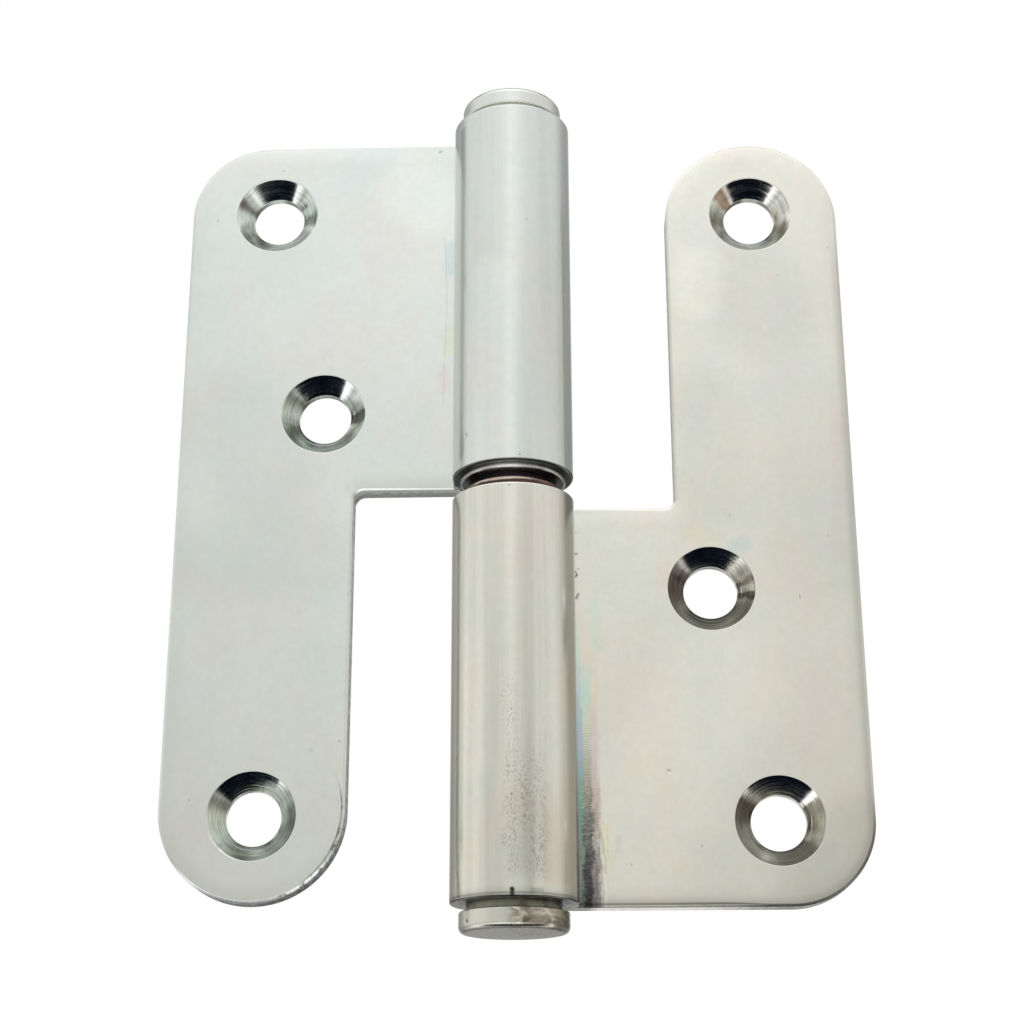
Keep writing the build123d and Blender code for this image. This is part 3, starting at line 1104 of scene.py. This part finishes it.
def bush_metal():
    """Dim turned steel, with a painted highlight at the front of the flange and painted shade in its
    rim's corner.
    """
    metal = Metal("bush_steel")
    x, y, z = metal.x, metal.y, metal.z
    rings = turned_rings(metal)
    uneven = metal.noise(0.7, 3, 0.6)
    metal.tone = metal.ramp(uneven, [(0.35, 0.42, 0.42, 0.40), (0.65, 0.66, 0.65, 0.62)])
    # A painted highlight at the front of the flange
    metal.cover(x.window(-3.4, -1.2, 0.0, 2.2) * y.spread(0.0, -4.0), colour(0.92, 0.91, 0.88))
    # Painted shade in the corner under the knuckle's end
    rim_corner_shade = metal.length(x, y).spread(6.32, 6.12) * z.spread(KNUCKLE_GAP / 2, 1.3)
    metal.tint(rim_corner_shade * abs(x).spread(2.4, 4.6), colour(0.20))
    return metal.finish(rings.vary(0.14, 0.24), metal.bump(rings, GROOVE))


def top_plug_zinc():
    metal = Metal("zinc_top_plug")
    plating(metal, (0.84, 0.86, 0.82))
    return zinc(metal, 0.28)


PLUG_MARKS = [
    tick((-5.25, -3.6, -52.1), (-5.1, -3.75, -52.3), 0.22, 0.7),
    tick((-0.1, -6.3, -51.2), (0.6, -6.3, -51.5), 0.20, 0.5),
    ((5.3, -3.5, -51.4), (5.6, -3.0, -52.4), 2.2, colour(0.70, 0.67, 0.62), 1.0),
    ((1.5, -6.2, -52.4), (3.8, -5.1, -52.3), 0.8, colour(0.42, 0.40, 0.37), 0.9),
]
PLUG_WEAR = [(0.36, 0.33, 0.30, 0.27), (0.48, 0.66, 0.60, 0.54), (0.58, 0.95, 0.90, 0.85)]


def bottom_plug_zinc():
    """The lower plug's plating has brown and grey wear on its right, and painted shade on its face and
    neck.
    """
    metal = Metal("zinc_bottom_plug")
    plating(metal, (0.80, 0.79, 0.73))
    wear_and_highlight_tone = metal.ramp(metal.noise((0.5, 0.5, 1.2), 4, 0.6, 0.5), PLUG_WEAR)
    metal.tint(metal.x.spread(-1.5, 0.8) * metal.y.spread(3.0, 1.0), wear_and_highlight_tone)
    # Painted shade on the plug's face, and in the groove of its neck
    metal.tint(metal.z.spread(-52.95, -53.15), colour(0.34, 0.34, 0.33))
    metal.tint(metal.z.spread(-50.95, -50.80), colour(0.30, 0.30, 0.28))
    marks(metal, PLUG_MARKS, anywhere)
    return zinc(metal, 0.26)


def install(piece, node, slot, *materials):
    """Let a piece stand for a node, on the node's body and with the given materials; its slot is not
    used.
    """
    for finish in materials:
        piece.data.materials.append(finish)
    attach(piece, frame["nodes"][node]["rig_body"])
    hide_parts(node)


edge_zinc = sheared_zinc()
frame_cones = turned_zinc("zinc_frame_countersinks", 0.0, FRAME_PATCHES, colour(1.0, 0.99, 0.95))
door_cones = turned_zinc("zinc_door_countersinks", 31.0, DOOR_PATCHES, colour(0.93, 1.0, 0.97), 180)
dark_steel = turned_steel("dark_steel", (0.022, 0.018, 0.021), 0.30)
pin_steel = turned_steel("pin_steel", (0.60, 0.60, 0.58), 0.20)
frame_leaf = leaf_mesh("frame_leaf_rolled")
door_leaf = half_turn(leaf_mesh("door_leaf_rolled"))
top = top_plug("top_plug_turned")
bottom = half_turn(top_plug("bottom_plug_turned"))
bronze = washer("bronze_washer_ring", "bronze_washer", BRONZE_RADIUS, 0.3)
thrust = washer("thrust_washer_ring", "thrust_washer", THRUST_RADIUS, 0.08)
bush = door_bush("door_bush_turned")
pin = hinge_pin("hinge_pin_turned")
install(frame_leaf, "frame_leaf", "zinc_plate", frame_leaf_zinc(), edge_zinc, frame_cones)
install(door_leaf, "door_leaf", "zinc_plate", door_leaf_zinc(), edge_zinc, door_cones)
install(top, "top_plug", "plug_zinc", top_plug_zinc())
install(bottom, "bottom_plug", "plug_zinc", bottom_plug_zinc())
install(bronze, "bronze_washer", "bronze", bronze_metal())
install(thrust, "thrust_washer", "dark_steel", dark_steel)
install(bush, "door_bush", "bush_steel", bush_metal())
install(pin, "hinge_pin", "pin_steel", pin_steel)

# The photograph's viewpoint, in millimetres and degrees: below the hinge, looking up
CAMERA_PLACE = (5.88, -214.44, -78.58)
CAMERA_RISE = 19.48
CAMERA_TURN = -1.604
CAMERA_ROLL = 0.172
CAMERA_LENS = 65.60
SENSOR = 36.0
FLOOR = -120.0
# In metres
FLOOR_RADIUS = 4.0
LAMP_SIZE, LAMP_PLACE = 1.5, (0.2, -0.4, 1.3)
LAMP_WATTS = 16


def photo_camera():
    """A camera at the photograph's viewpoint."""
    camera = bpy.data.cameras.new("photo_camera")
    camera.lens, camera.sensor_width = CAMERA_LENS, SENSOR
    camera.clip_start, camera.clip_end = 10 * MM, 20
    holder = bpy.data.objects.new("photo_camera", camera)
    turn = Matrix.Rotation(math.radians(-CAMERA_TURN), 4, "Z")
    rise = Matrix.Rotation(math.radians(90 + CAMERA_RISE), 4, "X")
    roll = Matrix.Rotation(math.radians(-CAMERA_ROLL), 4, "Z")
    holder.matrix_world = Matrix.Translation(Vector(CAMERA_PLACE) * MM) @ turn @ rise @ roll
    bpy.context.scene.collection.objects.link(holder)
    bpy.context.scene.camera = holder


def studio_floor():
    """A plain pale floor under the hinge, which its metal doesn't mirror."""
    bm = bmesh.new()
    bmesh.ops.create_circle(bm, cap_ends=True, segments=64, radius=FLOOR_RADIUS)
    mesh = bpy.data.meshes.new("floor")
    bm.to_mesh(mesh)
    bm.free()
    floor = bpy.data.objects.new("floor", mesh)
    floor.location.z = FLOOR * MM
    floor.visible_glossy = False
    bpy.context.scene.collection.objects.link(floor)
    shader = Shader(bpy.data.materials.new("floor"))
    paint = shader.result("ShaderNodeBsdfDiffuse", {"Color": colour(0.86, 0.86, 0.85)})
    shader.node("ShaderNodeOutputMaterial", {"Surface": paint})
    mesh.materials.append(shader.owner)


def overhead_light():
    """A large soft light over the floor, which the metal doesn't mirror."""
    light = bpy.data.lights.new("overhead", "AREA")
    light.shape, light.size, light.energy = "DISK", LAMP_SIZE, LAMP_WATTS
    holder = bpy.data.objects.new("overhead", light)
    holder.location = LAMP_PLACE
    holder.visible_glossy = False
    bpy.context.scene.collection.objects.link(holder)


# What the metal mirrors all round, level and lower down, and higher up. Each pair is a direction
# in degrees, 0 straight in front of the hinge and 90 to its right, and how bright it is there.
LOW_ROUND = [
    (-180, 1.20), (-168, 1.10), (-156, 0.36), (-130, 0.52), (-114, 1.18), (-100, 1.15),
    (-80, 1.10), (-60, 1.06), (-45, 0.88), (-35, 0.88), (-22, 0.88), (-12, 0.92),
    (-3, 1.00), (3, 0.98), (12, 0.90), (22, 0.76), (32, 0.74), (42, 0.92),
    (55, 1.00), (70, 1.02), (85, 0.98), (98, 0.84), (112, 0.52), (125, 0.36),
    (154, 0.28), (168, 1.10), (180, 1.20),
]
HIGH_ROUND = [
    (-180, 0.85), (-168, 0.80), (-156, 0.36), (-122, 0.42), (-112, 0.52), (-100, 0.78),
    (-60, 0.80), (-45, 0.82), (-30, 0.86), (-15, 0.90), (-5, 1.00), (3, 1.00),
    (12, 0.92), (20, 0.88), (32, 0.83), (50, 0.76), (75, 0.73), (97, 0.73),
    (112, 0.60), (125, 0.40), (156, 0.34), (168, 0.80), (180, 0.85),
]
# Heights in degrees between which low gives way to high, high to an even sky, and low to what is below
HIGH_RISE, STEEP_RISE, BELOW_RISE = (12, 26), (50, 75), (-7, -16)
LOW_BEHIND = 0.5  # how bright it is behind and below, against in front and below

# How bright it is from straight below to straight above, by height in degrees
RISE_LIGHT = [
    (-90, 0.70), (-55, 1.35), (-30, 1.32),
    (-18, 0.45), (-9, 0.70, 0.70, 0.67), (-4, 0.62, 0.61, 0.58),
    (4, 0.70, 0.69, 0.65), (15, 0.82, 0.82, 0.79), (26, 0.95, 0.95, 0.94),
    (36, 1.08), (48, 1.40), (90, 1.20),
]

# The sky over and behind the hinge, from its top down, by how far a direction points to the back
BEHIND_LIGHT = [
    (0.10, 0.08),
    (0.28, 0.13),
    (0.38, 0.30, 0.32, 0.30),
    (0.48, 0.52, 0.54, 0.52),
    (0.65, 0.75),
]

# A dark card below the hinge, from left to right and from front to back. Its edges are distances
# from straight below, for each unit down.
CARD_ACROSS = (-1.35, -1.15, 1.30, 2.00)  # where it begins, is full, starts to fade and ends
CARD_ALONG = (-0.97, -0.77, 0.02, 0.22)
CARD_COLOUR = colour(0.004, 0.006, 0.012)


def round_light(sky, turn_share, levels):
    """The brightness all round, from the share of the turn."""
    return sky.ramp(turn_share, [((turn + 180) / 360, level) for turn, level in levels])


def between(rise, heights):
    """How far a rise lies from one height in degrees to the other."""
    return rise.spread(*map(math.radians, heights))


def mirrored_light(sky, x, y, z):
    """The studio's light in a direction, before the card."""
    turn = sky.math("ARCTAN2", x, y * -1.0)
    turn_share = turn.spread(-math.pi, math.pi, kind="LINEAR")
    rise = sky.math("ARCSINE", z)
    rise_share = rise.spread(-math.pi / 2, math.pi / 2, kind="LINEAR")
    low_light, high_light = (round_light(sky, turn_share, row) for row in (LOW_ROUND, HIGH_ROUND))
    around = sky.mix(between(rise, HIGH_RISE), low_light, high_light)
    around = sky.mix(between(abs(rise), STEEP_RISE), around, colour(1.0))
    below_level = y.spread(0.1, 0.5, 1.0, LOW_BEHIND)
    around = sky.mix(between(rise, BELOW_RISE), around, below_level)
    by_height = [((height + 90) / 180, *levels) for height, *levels in RISE_LIGHT]
    light = sky.tinted(around, 1.0, sky.ramp(rise_share, by_height))
    behind = y.spread(0.02, 0.12) * z.spread(0.62, 0.80)
    return sky.mix(behind, light, sky.ramp(y, BEHIND_LIGHT))


def card_share(x, y, z):
    """1 where a direction meets the dark card."""
    below = (z * -1.0).most(0.001)
    share = (x / below).window(*CARD_ACROSS) * (y / below).window(*CARD_ALONG)
    return share * below.spread(0.05, 0.10)


def studio_world():
    """Soft studio light from all round, with a dark card below. The camera sees plain white."""
    world = bpy.data.worlds.new("studio")
    bpy.context.scene.world = world
    sky = Shader(world)
    x, y, z = sky.axes(sky.result("ShaderNodeTexCoord", output="Generated"))
    light = sky.mix(card_share(x, y, z), mirrored_light(sky, x, y, z), CARD_COLOUR)
    seen = sky.result("ShaderNodeLightPath", output="Is Camera Ray")
    light = sky.mix(seen, light, colour(1.0))
    back = sky.result("ShaderNodeBackground", {"Color": light, "Strength": 1.0})
    sky.node("ShaderNodeOutputWorld", {"Surface": back})


photo_camera()
studio_floor()
overhead_light()
studio_world()
bpy.context.scene.view_settings.view_transform = "Standard"
